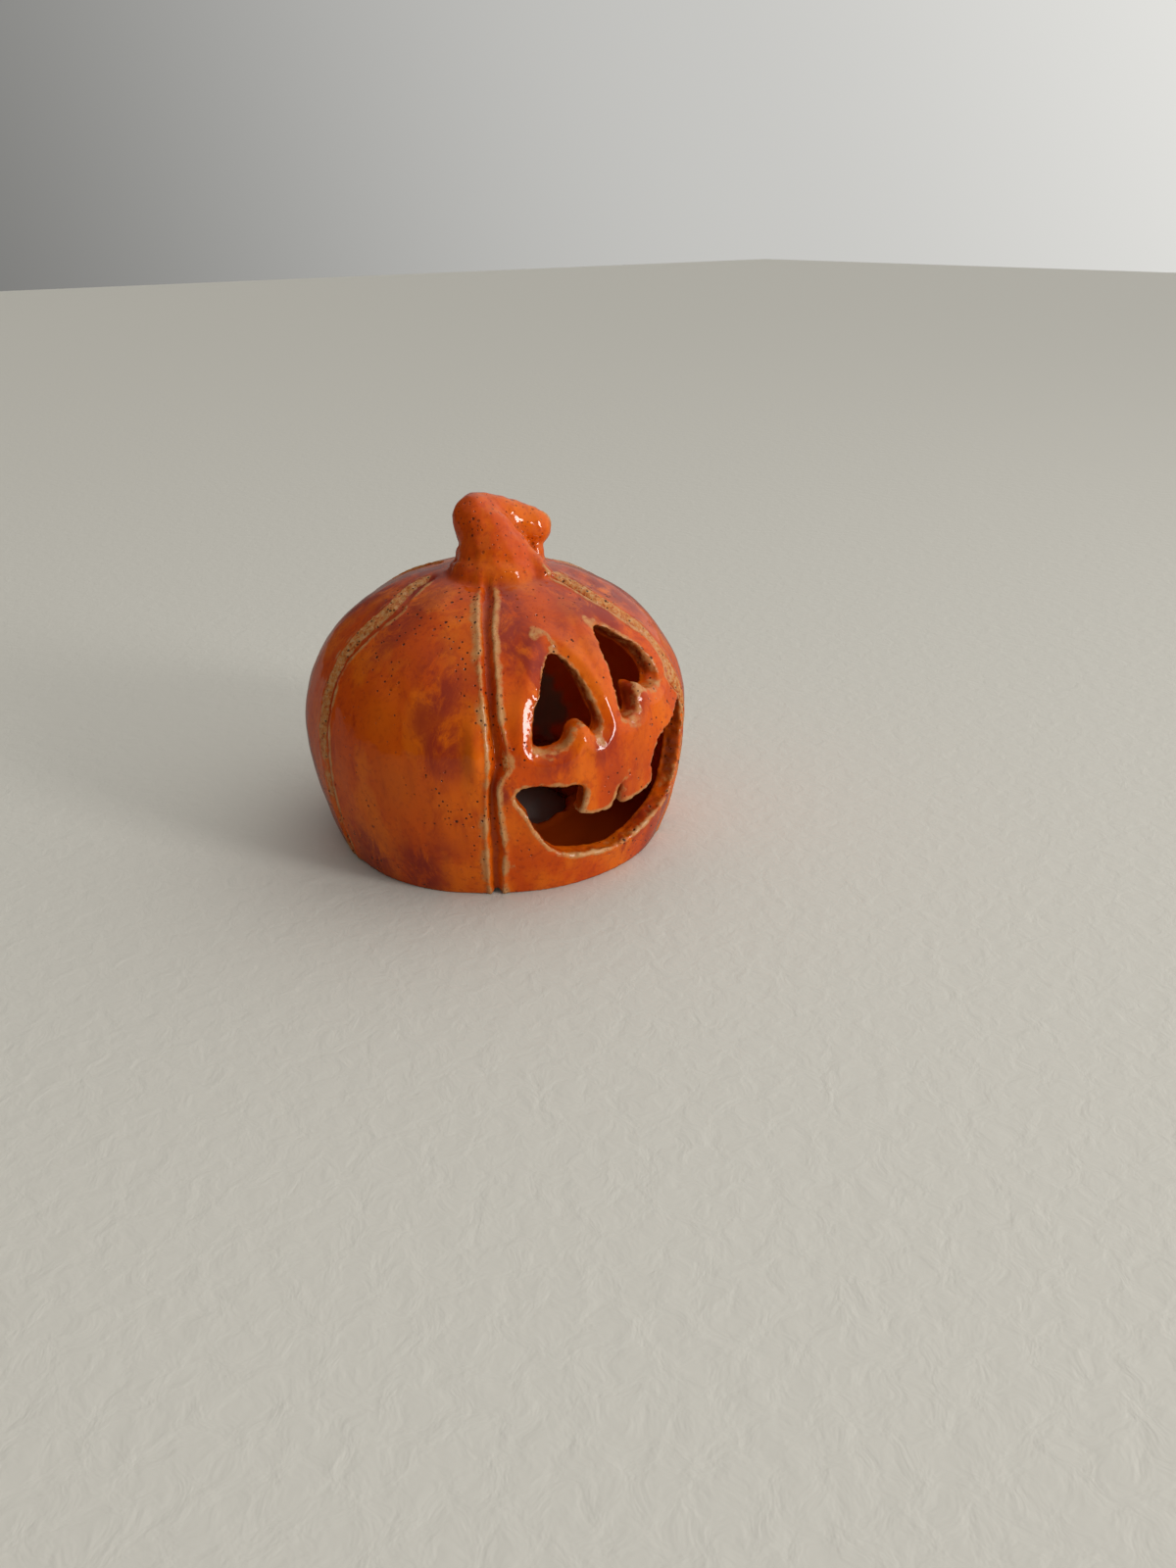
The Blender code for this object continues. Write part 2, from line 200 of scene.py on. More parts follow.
# Ropes of clay that make the stem: (x, y, z, radius) along the middle, in mm
STEM = (
    (-0.9, -2.6, 70.8, 16.0), (-1.0, -2.8, 73.2, 13.4), (-0.9, -2.3, 75.6, 11.7),
    (-0.8, -2.0, 77.9, 10.7), (-1.3, -1.0, 80.7, 9.1), (-1.5, -0.2, 82.9, 7.8),
    (-2.4, 1.7, 85.5, 6.8), (-2.6, 3.2, 86.8, 6.3), (0.4, 4.0, 87.0, 5.8), (4.6, 3.3, 85.9, 5.4),
    (9.3, 2.3, 84.2, 5.2), (13.0, 0.9, 82.8, 5.1), (15.2, -0.2, 82.0, 4.9), (16.7, -1.1, 81.7, 4.0),
    (17.7, -1.8, 81.5, 2.6), (18.2, -2.1, 81.4, 0.8),
)
STEM_FOLD = (
    (-2.4, 2.0, 89.6, 2.8), (0.0, -0.6, 87.4, 2.7), (2.2, -3.7, 83.2, 2.6), (3.6, -6.4, 80.2, 2.7),
    (5.0, -8.7, 77.4, 3.1), (6.2, -11.2, 74.4, 3.8), (7.2, -13.2, 71.4, 4.4),
)
STEM_LUMPS = ((12.8, -1.5, 76.6, 2.8), (12.2, -1.4, 73.8, 3.4))

FINE_VOXEL = 0.62
MOST_TRIANGLES = 190000
BODY_SEGMENTS = 192
BODY_RINGS = 96


# ---------------------------------------------------------------- working by hand


def drop_selection():
    if bpy.context.object and bpy.context.object.mode == "EDIT":
        bpy.ops.object.mode_set(mode="OBJECT")
    bpy.ops.object.select_all(action="DESELECT")


def take(obj):
    drop_selection()
    obj.select_set(True)
    bpy.context.view_layer.objects.active = obj
    return obj


def settle(name):
    """Names the new piece and puts its place into its mesh."""
    obj = bpy.context.object
    obj.name = name
    bpy.ops.object.transform_apply(location=True, rotation=True, scale=True)
    return obj


def choose_points(obj, test):
    """In edit mode, selects the points that pass the test and nothing else."""
    bpy.ops.mesh.select_mode(type="VERT")
    bpy.ops.mesh.select_all(action="DESELECT")
    bpy.ops.object.mode_set(mode="OBJECT")
    for vert in obj.data.vertices:
        vert.select = test(vert.co / MM)
    bpy.ops.object.mode_set(mode="EDIT")


def apply_modifier(obj, kind, **settings):
    take(obj)
    modifier = obj.modifiers.new(kind.lower(), kind)
    for name, value in settings.items():
        setattr(modifier, name, value)
    bpy.ops.object.modifier_apply(modifier=modifier.name)


def cut_with(obj, cutter):
    apply_modifier(obj, "BOOLEAN", object=cutter, operation="DIFFERENCE", solver="EXACT")
    bpy.data.objects.remove(cutter, do_unlink=True)


def join_to(obj, others):
    take(obj)
    for other in others:
        other.select_set(True)
    bpy.context.view_layer.objects.active = obj
    bpy.ops.object.join()


# ---------------------------------------------------------------- the thrown body


def turned_bowl(name, radius, top, under, foot):
    """A ball drawn out upwards and downwards from its widest level, and cut flat at the foot."""
    drop_selection()
    bpy.ops.mesh.primitive_uv_sphere_add(
        segments=BODY_SEGMENTS, ring_count=BODY_RINGS, radius=radius * MM,
        location=(0, 0, WIDEST_AT * MM))
    bowl = settle(name)
    bpy.ops.object.mode_set(mode="EDIT")
    centre = (0, 0, WIDEST_AT * MM)
    choose_points(bowl, lambda at: at.z > WIDEST_AT + 0.01)
    stretch = (top - WIDEST_AT) / radius
    bpy.ops.transform.resize(value=(1, 1, stretch), center_override=centre)
    choose_points(bowl, lambda at: at.z < WIDEST_AT - 0.01)
    bpy.ops.transform.resize(value=(1, 1, under / radius), center_override=centre)
    bpy.ops.mesh.select_all(action="SELECT")
    bpy.ops.mesh.bisect(
        plane_co=(0, 0, foot * MM), plane_no=(0, 0, 1), use_fill=True, clear_inner=True)
    bpy.ops.object.mode_set(mode="OBJECT")
    return bowl


def floor_hole():
    """A hole cut by hand with a knife: round, but not true."""
    drop_selection()
    bpy.ops.mesh.primitive_cylinder_add(
        vertices=48, radius=FLOOR_HOLE_RADIUS * MM, depth=20 * MM, location=(0, 0, 0))
    hole = settle("floor_hole_knife")
    for vert in hole.data.vertices:
        turn = math.atan2(vert.co.y, vert.co.x)
        wobble = 1 + 0.012 * math.sin(2 * turn + 0.6) + 0.008 * math.sin(5 * turn)
        vert.co.x *= wobble
        vert.co.y *= wobble
    return hole


# ---------------------------------------------------------------- the carved face


def rounded(outline):
    """The closed curve through an outline's points. It turns sharply at a point that comes twice."""
    points = [Vector(point) for point in outline]
    count = len(points)
    found = []
    for index in range(count):
        before, start = points[index - 1], points[index]
        end, after = points[(index + 1) % count], points[(index + 2) % count]
        if (end - start).length < 0.01:
            continue
        for step in range(OUTLINE_STEPS):
            share = step / OUTLINE_STEPS
            leaving = (end - before) * 0.5
            arriving = (after - start) * 0.5
            bend = start * (2 * share**3 - 3 * share**2 + 1)
            bend += end * (3 * share**2 - 2 * share**3)
            bend += leaving * (share**3 - 2 * share**2 + share) + arriving * (share**3 - share**2)
            found.append(bend)
    return found


def place(azimuth, radius, height):
    turn = math.radians(azimuth)
    return Vector((radius * math.sin(turn), -radius * math.cos(turn), height)) * MM


def carving_knife(name, outline):
    """The plug that a knife cuts out of the wall: a ring laid on the outline and drawn outwards."""
    curve = rounded(outline)
    drop_selection()
    bpy.ops.mesh.primitive_circle_add(vertices=len(curve), radius=CUT_NEAR * MM, location=(0, 0, 0))
    knife = settle(name)
    for vert, point in zip(knife.data.vertices, curve):
        vert.co = place(point.x, CUT_NEAR, point.y)
    bpy.ops.object.mode_set(mode="EDIT")
    bpy.ops.mesh.select_all(action="SELECT")
    bpy.ops.mesh.edge_face_add()
    bpy.ops.mesh.quads_convert_to_tris(ngon_method="CLIP")
    bpy.ops.mesh.select_all(action="SELECT")
    bpy.ops.mesh.extrude_region_move()
    grow = CUT_FAR / CUT_NEAR
    bpy.ops.transform.resize(value=(grow, grow, 1), center_override=(0, 0, 0))
    bpy.ops.mesh.select_all(action="SELECT")
    bpy.ops.mesh.normals_make_consistent(inside=False)
    bpy.ops.object.mode_set(mode="OBJECT")
    return knife


# ---------------------------------------------------------------- the stem


def clay_rope(name, stations):
    """A rope of soft clay that swells and thins along its run."""
    drop_selection()
    bpy.ops.curve.primitive_nurbs_path_add(radius=MM, location=(0, 0, 0))
    rope = bpy.context.object
    rope.name = name
    line = rope.data
    line.splines.clear()
    spline = line.splines.new("NURBS")
    spline.points.add(len(stations) - 1)
    for point, (x, y, z, radius) in zip(spline.points, stations):
        point.co = (x * MM, y * MM, z * MM, 1)
        point.radius = radius
    spline.use_endpoint_u = True
    spline.order_u = 3
    spline.resolution_u = 6
    line.bevel_depth = MM
    line.bevel_resolution = 6
    line.use_fill_caps = True
    bpy.ops.object.convert(target="MESH")
    rope = bpy.context.object
    bpy.ops.object.transform_apply(location=True, rotation=True, scale=True)
    return rope


def clay_lump(name, x, y, z, radius):
    drop_selection()
    bpy.ops.mesh.primitive_ico_sphere_add(
        subdivisions=3, radius=radius * MM, location=(x * MM, y * MM, z * MM))
    return settle(name)


def stem_clay():
    parts = [clay_rope("stem_rope", STEM), clay_rope("stem_fold", STEM_FOLD)]
    parts += [clay_lump(f"stem_lump_{index}", *lump) for index, lump in enumerate(STEM_LUMPS)]
    return parts


# ---------------------------------------------------------------- points of a mesh as arrays


def read_points(obj):
    flat = np.empty(len(obj.data.vertices) * 3, np.float32)
    obj.data.vertices.foreach_get("co", flat)
    return flat.reshape(-1, 3).astype(float) / MM


def read_normals(obj):
    flat = np.empty(len(obj.data.vertices) * 3, np.float32)
    obj.data.vertex_normals.foreach_get("vector", flat)
    return flat.reshape(-1, 3).astype(float)


def write_points(obj, points):
    obj.data.vertices.foreach_set("co", (points * MM).astype(np.float32).ravel())
    obj.data.update()


def read_edges(obj):
    flat = np.empty(len(obj.data.edges) * 2, np.int32)
    obj.data.edges.foreach_get("vertices", flat)
    return flat.reshape(-1, 2)


def averaged(values, edges, rounds):
    """Each point's value evened out with its neighbours' values."""
    values = values.astype(float)
    count = len(values)
    degree = np.bincount(edges.ravel(), minlength=count)
    for _ in range(rounds):
        if values.ndim == 1:
            total = np.bincount(edges[:, 0], values[edges[:, 1]], count)
            total += np.bincount(edges[:, 1], values[edges[:, 0]], count)
            values = 0.5 * values + 0.5 * total / degree
        else:
            values = np.stack([averaged(values[:, axis], edges, 1) for axis in range(3)], 1)
    return values


def store(obj, name, values):
    layer = obj.data.attributes.get(name) or obj.data.attributes.new(name, "FLOAT", "POINT")
    layer.data.foreach_set("value", values.astype(np.float32))


def uneven(points, size, seed, octaves=3):
    """Smooth noise from about -1 to 1, with bumps of about this size in mm."""
    shift = Vector((seed * 17.3, seed * 7.7, seed * 3.1))
    return np.array([
        noise.fractal(Vector(point) / size + shift, 1.0, 2.0, octaves) for point in points
    ])


def smooth_step(values, start, end):
    share = np.clip((values - start) / (end - start), 0, 1)
    return share * share * (3 - 2 * share)


def skin_radius(heights):
    rise = np.where(heights > WIDEST_AT, TOP_HEIGHT - WIDEST_AT, UNDER_RADIUS)
    share = (heights - WIDEST_AT) / rise
    return BODY_RADIUS * np.sqrt(np.clip(1 - share * share, 0, None))


def polar(points):
    radius = np.hypot(points[:, 0], points[:, 1])
    azimuth = np.degrees(np.arctan2(points[:, 0], -points[:, 1]))
    return azimuth, radius, points[:, 2]


def skin_depth(points):
    """How far each point lies under the turned skin, in mm. The stem comes out below zero."""
    _, radius, height = polar(points)
    rise = np.where(height > WIDEST_AT, TOP_HEIGHT - WIDEST_AT, UNDER_RADIUS)
    scaled = np.hypot(radius / BODY_RADIUS, (height - WIDEST_AT) / rise)
    along = np.hypot(radius, height - WIDEST_AT)
    return (1 - scaled) * along / np.maximum(scaled, 0.01)


# ---------------------------------------------------------------- grooves


def groove_rims(groove, height):
    """Azimuths of a groove's left and right rims at each height."""
    run = sorted(groove["run"])
    heights = [stop[0] for stop in run]
    left = np.interp(height, heights, [stop[1] for stop in run])
    right = np.interp(height, heights, [stop[2] for stop in run])
    return left, right


def millimetres_between(azimuth, rim, radius):
    return np.radians((azimuth - rim + 180) % 360 - 180) * np.maximum(radius, 4)


def press_grooves(points, outer):
    """Depth of the scored channels, and how strongly each point is channel, bare rim or gritty bank."""
    azimuth, radius, height = polar(points)
    begins = smooth_step(
        radius + uneven(points, 9, 5, 1) * 1.5, GROOVE_TOP_RADIUS - 1.5, GROOVE_TOP_RADIUS + 2)
    wobble = uneven(points, 5.5, 1) * 0.25 + uneven(points, 1.9, 2, 2) * 0.16
    sink = np.zeros(len(points))
    rims = np.zeros(len(points))
    grit = np.zeros(len(points))
    bare = np.zeros(len(points))
    patchy = smooth_step(uneven(points, 7, 6, 3), -0.5, 0.25)
    for groove in GROOVES:
        left, right = groove_rims(groove, height)
        from_left = millimetres_between(azimuth, left, radius) + wobble
        from_right = -millimetres_between(azimuth, right, radius) - wobble
        width = np.maximum(millimetres_between(right, left, radius), 1.6)
        share = from_left / width
        deepest = groove["deepest"]
        near_left = share < deepest
        slope = np.where(near_left, share / deepest, (1 - share) / (1 - deepest))
        bank = np.where(near_left, width * deepest, width * (1 - deepest))
        shelf = smooth_step(bank, 2.2, 3.2)
        inside = smooth_step(slope, 0.0, 0.75) * (np.abs(from_left) < 25)
        from_deepest = np.abs(share - deepest) * width
        full = np.interp(height, *zip(*groove["depth"]))
        step = SHELF_DEPTH + (full - SHELF_DEPTH) * (1 - smooth_step(from_deepest, 0.7, 1.9))
        deep = full * (1 - shelf) + step * shelf
        rim_left = np.exp(-((from_left / 0.7) ** 2))
        rim_right = np.exp(-((from_right / 0.7) ** 2))
        rim = np.where(near_left, rim_left, rim_right) * (1 - 0.8 * shelf)
        gritty = shelf * smooth_step(slope, 0.0, 0.3) * smooth_step(from_deepest, 0.8, 1.7)
        gritty = gritty * (np.abs(from_left) < 25) * np.maximum(smooth_step(height, 22, 44), 0.55 * patchy)
        left_width, right_width = groove["bare"]
        left_width = left_width * (1 - 0.75 * np.exp(-(((height - GLOSSY_BANK) / 6) ** 2)))
        left_bare = np.exp(-(((from_left + 0.6 * left_width) / left_width) ** 2))
        right_bare = np.exp(-(((from_right + 0.6 * right_width) / right_width) ** 2))
        bare = np.maximum(bare, np.maximum(left_bare, right_bare) * (1 - 0.7 * gritty))
        sink = np.maximum(sink, inside * deep)
        rims = np.maximum(rims, rim)
        grit = np.maximum(grit, gritty)
    rough = uneven(points, 1.5, 3, 3)
    depth = outer * begins * (sink - 0.35 * rims - 0.42 * grit * rough)
    return depth, outer * begins * sink / 1.8, outer * begins * bare, outer * begins * grit


def cheek_swell(points):
    """The clay pushed up in low swells beside the groove at the face's left."""
    azimuth, _, height = polar(points)
    lift = np.zeros(len(points))
    for at, level, wide, tall, rise in CHEEKS:
        across = np.radians(azimuth - at) * BODY_RADIUS / wide
        lift += rise * np.exp(-(across ** 2) - ((height - level) / tall) ** 2)
    return lift


# ---------------------------------------------------------------- cut edges


def distance_to_line(points, line, closed=False):
    """Distance in mm, measured on the skin, from each point to a line of (azimuth, height)."""
    azimuth, _, height = polar(points)
    reach = np.maximum(skin_radius(height), 20)
    flat = np.stack([np.radians(azimuth) * reach, height], 1)
    curve = np.array([(point[0], point[1]) for point in line], float)
    curve[:, 0] = np.radians(curve[:, 0]) * skin_radius(curve[:, 1])
    ends = np.roll(curve, -1, 0) if closed else curve[1:]
    best = np.full(len(points), 1e9)
    for start, end in zip(curve, ends):
        side = end - start
        share = np.clip(((flat - start) @ side) / max(side @ side, 1e-9), 0, 1)
        gap = flat - start - share[:, None] * side
        best = np.minimum(best, np.hypot(gap[:, 0], gap[:, 1]))
    return best


def strokes(points, runs, wobble):
    """How strongly each point lies under one of the strokes, from 0 to 1."""
    found = np.zeros(len(points))
    for stroke in runs:
        away = distance_to_line(points, stroke["run"]) + wobble * stroke["width"]
        mark = 1 - smooth_step(away, 0.45 * stroke["width"], 1.15 * stroke["width"])
        found = np.maximum(found, mark * stroke.get("share", 1.0))
    return found


def drifts(points, spots):
    """How strongly each point lies in one of the round drifts of colour."""
    azimuth, _, height = polar(points)
    reach = np.maximum(skin_radius(height), 12)
    found = np.zeros(len(points))
    for at, level, radius, strength in spots:
        across = np.radians((azimuth - at + 180) % 360 - 180) * reach
        away = across ** 2 + (height - level) ** 2 / DRIFT_STRETCH
        found = np.maximum(found, strength * np.exp(-away / radius ** 2))
    return found


# ---------------------------------------------------------------- the whole lantern


def rough_lantern():
    """Body, hollow, cuts and stem, in one piece of clay with hard edges."""
    body = turned_bowl("glazed_lantern", BODY_RADIUS, TOP_HEIGHT, UNDER_RADIUS, 0)
    hollow = turned_bowl("hollow", BODY_RADIUS - WALL, TOP_HEIGHT - WALL, UNDER_RADIUS, FLOOR)
    cut_with(body, hollow)
    cut_with(body, floor_hole())
    for name, outline in OPENINGS.items():
        cut_with(body, carving_knife(name + "_knife", outline))
    join_to(body, stem_clay())
    return body


def soften(obj, voxel):
    """Melts the pieces together and rounds the cut edges as glaze does."""
    apply_modifier(obj, "REMESH", mode="VOXEL", voxel_size=voxel * MM, use_smooth_shade=True)
    apply_modifier(obj, "SMOOTH", factor=0.5, iterations=3)


def sculpt(obj):
    """Presses the grooves, rounds and frays the cut edges, and says what each point of the clay is."""
    points = read_points(obj)
    normals = read_normals(obj)
    edges = read_edges(obj)
    _, radius, height = polar(points)
    depth = skin_depth(points)
    outward = normals[:, 0] * points[:, 0] + normals[:, 1] * points[:, 1]
    outward += normals[:, 2] * (height - WIDEST_AT)
    outward /= np.linalg.norm(points - np.array((0, 0, WIDEST_AT)), axis=1)
    outer = smooth_step(outward, 0.0, 0.35) * (1 - smooth_step(depth, 1.6, 3.2))
    outer = averaged(outer, edges, 2)

    groove_depth, channel, banks, grit = press_grooves(points, outer)
    near = {name: distance_to_line(points, rounded(outline), True) for name, outline in OPENINGS.items()}
    near_cut = np.min(list(near.values()), 0)
    near_eye = np.minimum(near["left_eye"], near["right_eye"])
    lip = np.exp(-((near_cut / 2.3) ** 2)) * outer
    lobes = (lobe_swell(points) + cheek_swell(points)) * outer
    lumps = uneven(points, 17, 7, 2) * 0.35 + uneven(points, 5, 8, 2) * 0.10
    stem = smooth_step(height, 72, 76) * (depth < 0)
    lumps += stem * (uneven(points, 4.2, 9, 2) * 0.30)
    inner = smooth_step(depth, 3.4, 4.7)
    cut_wall = (1 - outer) * (1 - inner) * (1 - smooth_step(near_cut, 1.2, 3)) * (depth > -1)
    chatter = cut_wall * uneven(points, 2.2, 11, 3) * 0.35
    ring = np.exp(-(((radius - FLOOR_HOLE_RADIUS) / HOLE_EDGE) ** 2))
    ring *= (1 - smooth_step(height, 6.5, 9)) * smooth_step(height, 0.5, 2)
    chatter += ring * (0.5 + uneven(points, 5, 13, 3) * 1.5)
    frayed = outer * (1 - smooth_step(near_cut, 0.6, 1.8)) * uneven(points, 1.5, 12, 3) * 0.24
    swell = 0.35 * np.exp(-(((near_eye - 3.6) / 1.6) ** 2)) * outer
    fall = 0.85 * (1 - smooth_step(near["left_eye"], 0, 3.2)) * outer
    fall += 0.45 * (1 - smooth_step(near["right_eye"], 0, 2.2)) * outer
    move = lobes + lumps * smooth_step(height, 0.2, 3) - groove_depth + 0.22 * lip + chatter
    move += swell - fall + frayed
    points = points + normals * move[:, None]
    points[:, 2] = np.maximum(points[:, 2], 0)
    write_points(obj, points)
    # Painted shade: cut walls that don't face up, and the floor inside the hollow, are marked to be painted
    # darker.
    facing_up = smooth_step(normals[:, 2], 0.1, 0.7)
    return {
        "channel": channel, "banks": banks, "grit": grit, "near_cut": near_cut, "outer": outer,
        "inner": inner, "painted_floor_shade": inner * (1 - smooth_step(height, 5.2, 8)),
        "painted_shade": averaged(cut_wall * (1 - facing_up), edges, 1),
        "foot": smooth_step(-normals[:, 2], 0.6, 0.9) * (1 - smooth_step(height, 0.3, 1.2)),
    }


def lobe_swell(points):
    """Each panel between two grooves stands a little proud in its middle."""
    azimuth, radius, height = polar(points)
    nearest = np.full(len(points), 1e9)
    for groove in GROOVES:
        for rim in groove_rims(groove, height):
            nearest = np.minimum(nearest, np.abs(millimetres_between(azimuth, rim, radius)))
    return 0.35 * smooth_step(nearest, 2, 15) - 0.1


def paint_marks(obj, marks):
    """Stores how the glaze lies on each point, from how sharply the clay bends and from the marks, and
    where shade is painted on the cut walls and the inner floor.
    """
    points = read_points(obj)
    normals = read_normals(obj)
    edges = read_edges(obj)
    fine = np.einsum("ij,ij->i", points - averaged(points, edges, 3), normals)
    broad = np.einsum("ij,ij->i", points - averaged(points, edges, 22), normals)
    fine = averaged(fine, edges, 2)
    thin = smooth_step(fine, 0.03, 0.12) * 0.45 + smooth_step(broad, 0.15, 0.65) * 0.75
    thick = smooth_step(-broad, 0.08, 0.5)
    patches = uneven(points, 6.5, 21, 3)
    worn = smooth_step(patches, -0.45, 0.30)
    frayed = uneven(points, 1.7, 23, 3)
    wobble = frayed * 0.55 + uneven(points, 4.0, 24, 2) * 0.25
    skin = np.clip(marks["outer"] + 0.6 * (marks["near_cut"] < 1.5), 0, 1)
    bare = strokes(points, BARE_STROKES, wobble) * skin
    thin = thin * (0.30 + 0.70 * worn) + 0.78 * marks["banks"] * (0.40 + 0.60 * worn) * (1 + 0.3 * frayed)
    thin = np.maximum(thin, bare * (0.72 + 0.55 * frayed))
    thin = np.clip(thin * (1 - marks["inner"]), 0, 1)
    azimuth, _, height = polar(points)
    across = np.radians((azimuth - GREY_PATCH["azimuth"] + 180) % 360 - 180) * BODY_RADIUS
    along = height - GREY_PATCH["height"]
    grey = np.exp(-(across / GREY_PATCH["wide"]) ** 2 - (along / GREY_PATCH["tall"]) ** 2)
    grey = smooth_step(grey + 0.3 * patches, 0.35, 0.6)
    pooled = 0.8 * marks["channel"] * (1 - marks["grit"]) * smooth_step(76 - height, 0, 24)
    store(obj, "thin_glaze", averaged(thin, edges, 1))
    store(obj, "thick_glaze", np.clip(thick * marks["outer"] + pooled, 0, 1))
    store(obj, "grit", marks["grit"])
    store(obj, "plum_drift", drifts(points, PLUM_DRIFTS) * marks["outer"])
    store(obj, "amber_drift", drifts(points, AMBER_DRIFTS) * marks["outer"])
    store(obj, "pitted", strokes(points, PITTED_BANDS, wobble) * marks["outer"])
    # Painted shade on the cut walls and on the inner floor, in one mark.
    store(obj, "painted_shade", np.maximum(marks["painted_shade"], marks["painted_floor_shade"]))
    store(obj, "stem", smooth_step(height, 75, 78))
    store(obj, "inner", marks["inner"])
    store(obj, "clay_coloured", np.maximum(marks["foot"], marks["inner"] * grey))


def finish_mesh(obj):
    triangles = sum(len(polygon.vertices) - 2 for polygon in obj.data.polygons)
    if triangles > MOST_TRIANGLES:
        apply_modifier(obj, "DECIMATE", ratio=MOST_TRIANGLES / triangles)
    take(obj)
    bpy.ops.object.shade_smooth()


def keep_inside(obj):
    """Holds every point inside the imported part's box."""
    points = read_points(obj)
    points = np.clip(points, np.array(low) / MM, np.array(high) / MM)
    write_points(obj, points)


def make_lantern():
    lantern = rough_lantern()
    soften(lantern, FINE_VOXEL)
    marks = sculpt(lantern)
    paint_marks(lantern, marks)
    keep_inside(lantern)
    finish_mesh(lantern)
    return lantern


# ---------------------------------------------------------------- the glaze


def node(tree, kind, **values):
    """A new node. Names of its sockets in values set them, and other names set its properties."""
    made = tree.nodes.new(kind)
    for name, value in values.items():
        if hasattr(made, name):
            setattr(made, name, value)
        else:
            made.inputs[name.replace("_", " ")].default_value = value
    return made


def link(tree, output, target):
    tree.links.new(output, target)


def noise_of(tree, where, scale, detail=4.0, roughness=0.55, distortion=0.0):
    made = node(tree, "ShaderNodeTexNoise", Scale=scale, Detail=detail, Roughness=roughness,
                Distortion=distortion)
    link(tree, where, made.inputs["Vector"])
    return made.outputs["Fac"]


def ramp(tree, value, start, end, low_value=0.0, high_value=1.0):
    made = node(tree, "ShaderNodeMapRange")
    made.interpolation_type = "SMOOTHSTEP"
    made.inputs["From Min"].default_value = start
    made.inputs["From Max"].default_value = end
    made.inputs["To Min"].default_value = low_value
    made.inputs["To Max"].default_value = high_value
    link(tree, value, made.inputs["Value"])
    return made.outputs["Result"]


def combine(tree, operation, first, second):
    made = node(tree, "ShaderNodeMath", operation=operation)
    for socket, value in zip(made.inputs, (first, second)):
        if isinstance(value, (int, float)):
            socket.default_value = value
        else:
            link(tree, value, socket)
    return made.outputs["Value"]


def mixed(tree, share, first, second, blend="MIX"):
    made = node(tree, "ShaderNodeMix", data_type="RGBA", blend_type=blend)
    link(tree, share, made.inputs["Factor"])
    colours = [socket for socket in made.inputs if socket.type == "RGBA"]
    for socket, value in zip(colours, (first, second)):
        if isinstance(value, tuple):
            socket.default_value = (*value, 1.0)
        else:
            link(tree, value, socket)
    return [socket for socket in made.outputs if socket.type == "RGBA"][0]


def mark(tree, name):
    return node(tree, "ShaderNodeAttribute", attribute_name=name).outputs["Fac"]


ORANGE = (0.60, 0.072, 0.0025)
AMBER = (0.72, 0.135, 0.0040)
RUSSET = (0.36, 0.030, 0.0050)
PLUM = (0.29, 0.028, 0.0120)
DEEP = (0.34, 0.027, 0.0010)
# The glaze inside the hollow, painted brighter than the outer orange: painted light for the dim inside.
LINING_WITH_PAINTED_LIGHT = (0.84, 0.150, 0.0050)
# Painted shade: the dark brown laid on cut walls that don't face up and on the inner floor.
PAINTED_SHADE_BROWN = (0.20, 0.022, 0.0015)
OCHRE = (0.56, 0.200, 0.040)
TAN = (0.54, 0.215, 0.062)
SAND = (0.58, 0.310, 0.130)
CLAY = (0.30, 0.265, 0.200)
UMBER = (0.04, 0.010, 0.003)


def pinholes(tree, where, scale, size, drift):
    """Small round pits, where the drift lets them show."""
    cells = node(tree, "ShaderNodeTexVoronoi", Scale=scale)
    link(tree, where, cells.inputs["Vector"])
    return combine(tree, "MULTIPLY", ramp(tree, cells.outputs["Distance"], size, size * 0.6), drift)


def times(tree, first, second):
    return combine(tree, "MULTIPLY", first, second)


def glaze_colour(tree, where, flowing):
    """The melted colours: amber and orange pools, russet streaks and plum drifts."""
    pool = ramp(tree, noise_of(tree, flowing, 80, 5, 0.62), 0.42, 0.62)
    pool = combine(tree, "MAXIMUM", pool, mark(tree, "amber_drift"))
    streak = ramp(tree, noise_of(tree, flowing, 118, 6, 0.68, 0.5), 0.50, 0.68)
    cloud = ramp(tree, noise_of(tree, where, 34, 3, 0.5), 0.44, 0.62)
    colour = mixed(tree, pool, ORANGE, AMBER)
    russet = times(tree, streak, combine(tree, "ADD", 0.25, cloud))
    fleck = times(tree, ramp(tree, noise_of(tree, where, 700, 3, 0.6), 0.50, 0.66), 0.40)
    russet = combine(tree, "MAXIMUM", russet, fleck)
    calm = combine(tree, "SUBTRACT", 1.0, times(tree, mark(tree, "amber_drift"), 0.75))
    colour = mixed(tree, times(tree, combine(tree, "MINIMUM", russet, 0.85), calm), colour, RUSSET)
    plum = ramp(tree, noise_of(tree, flowing, 60, 2.5, 0.5), 0.56, 0.74, 0.0, 0.6)
    torn = ramp(tree, noise_of(tree, flowing, 150, 6, 0.72, 0.8), 0.34, 0.57)
    drift = times(tree, ramp(tree, mark(tree, "plum_drift"), 0.08, 0.62, 0.0, 1.0), torn)
    colour = mixed(tree, times(tree, combine(tree, "MAXIMUM", plum, drift), calm), colour, PLUM)
    colour = mixed(tree, times(tree, mark(tree, "thick_glaze"), 0.55), colour, DEEP)
    return colour


